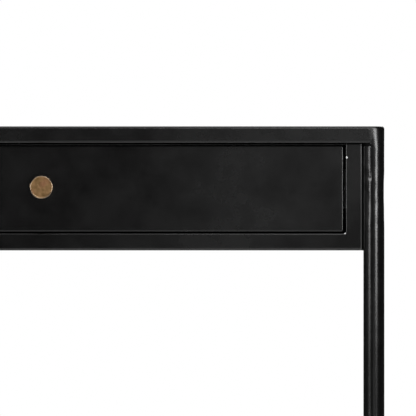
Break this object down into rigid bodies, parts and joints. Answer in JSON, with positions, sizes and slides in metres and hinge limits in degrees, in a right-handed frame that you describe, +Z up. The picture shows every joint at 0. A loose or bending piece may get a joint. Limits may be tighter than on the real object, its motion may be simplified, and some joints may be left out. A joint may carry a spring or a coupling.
{
  "type": "writing desk",
  "caption": "Black sheet steel writing desk on round tube legs, with wide shallow drawers that pull out on ball slides by round brass knobs.",
  "frame": {"origin": "on the floor under the middle of the desk's outer box, which includes the knobs", "axes": "+X to the right along the desk as seen from the front, +Y to the back, +Z up; the drawers open towards -Y"},
  "size_m": [1.524, 0.622, 0.762],
  "materials": {
    "black_steel": "satin black finish on hand-ground steel, faintly mottled",
    "aged_brass": "brushed, darkened with age, brighter along the rim",
    "slide_black": "black electrocoat, smooth",
    "zinc_steel": "bright zinc plate",
    "black_nylon": "fine matte",
    "rubber": "matte"
  },
  "bodies": {
    "desk": {"desktop": "black_steel", "top_stiffener_left": "black_steel", "top_stiffener_centre": "black_steel", "top_stiffener_right": "black_steel", "leg_corner_plates": "black_steel", "leg_front_left": "black_steel", "leg_front_right": "black_steel", "leg_rear_left": "black_steel", "leg_rear_right": "black_steel", "leg_strips": "black_steel", "front_frame": "black_steel", "side_panel_left": "black_steel", "side_panel_right": "black_steel", "back_panel": "black_steel", "bottom_panel": "black_steel", "centre_divider": "black_steel", "slide_channel_left": "black_steel", "slide_channel_right": "black_steel", "glide_front_left": "black_nylon", "glide_front_right": "black_nylon", "glide_rear_left": "black_nylon", "glide_rear_right": "black_nylon", "case_screws": "zinc_steel", "cabinet_slide_screws": "zinc_steel", "slide_stops": "rubber", "cabinet_slide_left_outer": "slide_black", "cabinet_slide_left_inner": "slide_black", "cabinet_slide_right_inner": "slide_black", "cabinet_slide_right_outer": "slide_black"},
    "drawer_left": {"drawer_front_left": "black_steel", "drawer_box_left": "black_steel", "drawer_ends_left": "black_steel", "knob_left": "aged_brass", "knob_screw_left": "zinc_steel", "front_screws_left": "zinc_steel", "slide_screws_left": "zinc_steel", "drawer_slide_left_outer": "slide_black", "drawer_slide_left_inner": "slide_black"},
    "middle_slides_left": {"middle_slide_left_outer": "slide_black", "middle_slide_left_inner": "slide_black"},
    "outer_cages_left": {"outer_balls_left_outer": "zinc_steel", "outer_balls_left_inner": "zinc_steel"},
    "inner_cages_left": {"inner_balls_left_outer": "zinc_steel", "inner_balls_left_inner": "zinc_steel"},
    "drawer_right": {"drawer_front_right": "black_steel", "drawer_box_right": "black_steel", "drawer_ends_right": "black_steel", "knob_right": "aged_brass", "knob_screw_right": "zinc_steel", "front_screws_right": "zinc_steel", "slide_screws_right": "zinc_steel", "drawer_slide_right_inner": "slide_black", "drawer_slide_right_outer": "slide_black"},
    "middle_slides_right": {"middle_slide_right_inner": "slide_black", "middle_slide_right_outer": "slide_black"},
    "outer_cages_right": {"outer_balls_right_inner": "zinc_steel", "outer_balls_right_outer": "zinc_steel"},
    "inner_cages_right": {"inner_balls_right_inner": "zinc_steel", "inner_balls_right_outer": "zinc_steel"}
  },
  "joints": [
    {"name": "drawer_left_slide", "type": "slide", "parent": "desk", "child": "drawer_left", "axis": [0, -1, 0], "range_m": [0, 0.5]},
    {"name": "middle_slides_left_slide", "type": "slide", "parent": "desk", "child": "middle_slides_left", "axis": [0, -1, 0], "range_m": [0, 0.25]},
    {"name": "outer_cages_left_slide", "type": "slide", "parent": "desk", "child": "outer_cages_left", "axis": [0, -1, 0], "range_m": [0, 0.125]},
    {"name": "inner_cages_left_slide", "type": "slide", "parent": "desk", "child": "inner_cages_left", "axis": [0, -1, 0], "range_m": [0, 0.375]},
    {"name": "drawer_right_slide", "type": "slide", "parent": "desk", "child": "drawer_right", "axis": [0, -1, 0], "range_m": [0, 0.5]},
    {"name": "middle_slides_right_slide", "type": "slide", "parent": "desk", "child": "middle_slides_right", "axis": [0, -1, 0], "range_m": [0, 0.25]},
    {"name": "outer_cages_right_slide", "type": "slide", "parent": "desk", "child": "outer_cages_right", "axis": [0, -1, 0], "range_m": [0, 0.125]},
    {"name": "inner_cages_right_slide", "type": "slide", "parent": "desk", "child": "inner_cages_right", "axis": [0, -1, 0], "range_m": [0, 0.375]}
  ],
  "couplings": [
    {"joint": "middle_slides_left_slide", "follows": "drawer_left_slide", "ratio": 0.5},
    {"joint": "outer_cages_left_slide", "follows": "drawer_left_slide", "ratio": 0.25},
    {"joint": "inner_cages_left_slide", "follows": "drawer_left_slide", "ratio": 0.75},
    {"joint": "middle_slides_right_slide", "follows": "drawer_right_slide", "ratio": 0.5},
    {"joint": "outer_cages_right_slide", "follows": "drawer_right_slide", "ratio": 0.25},
    {"joint": "inner_cages_right_slide", "follows": "drawer_right_slide", "ratio": 0.75}
  ]
}
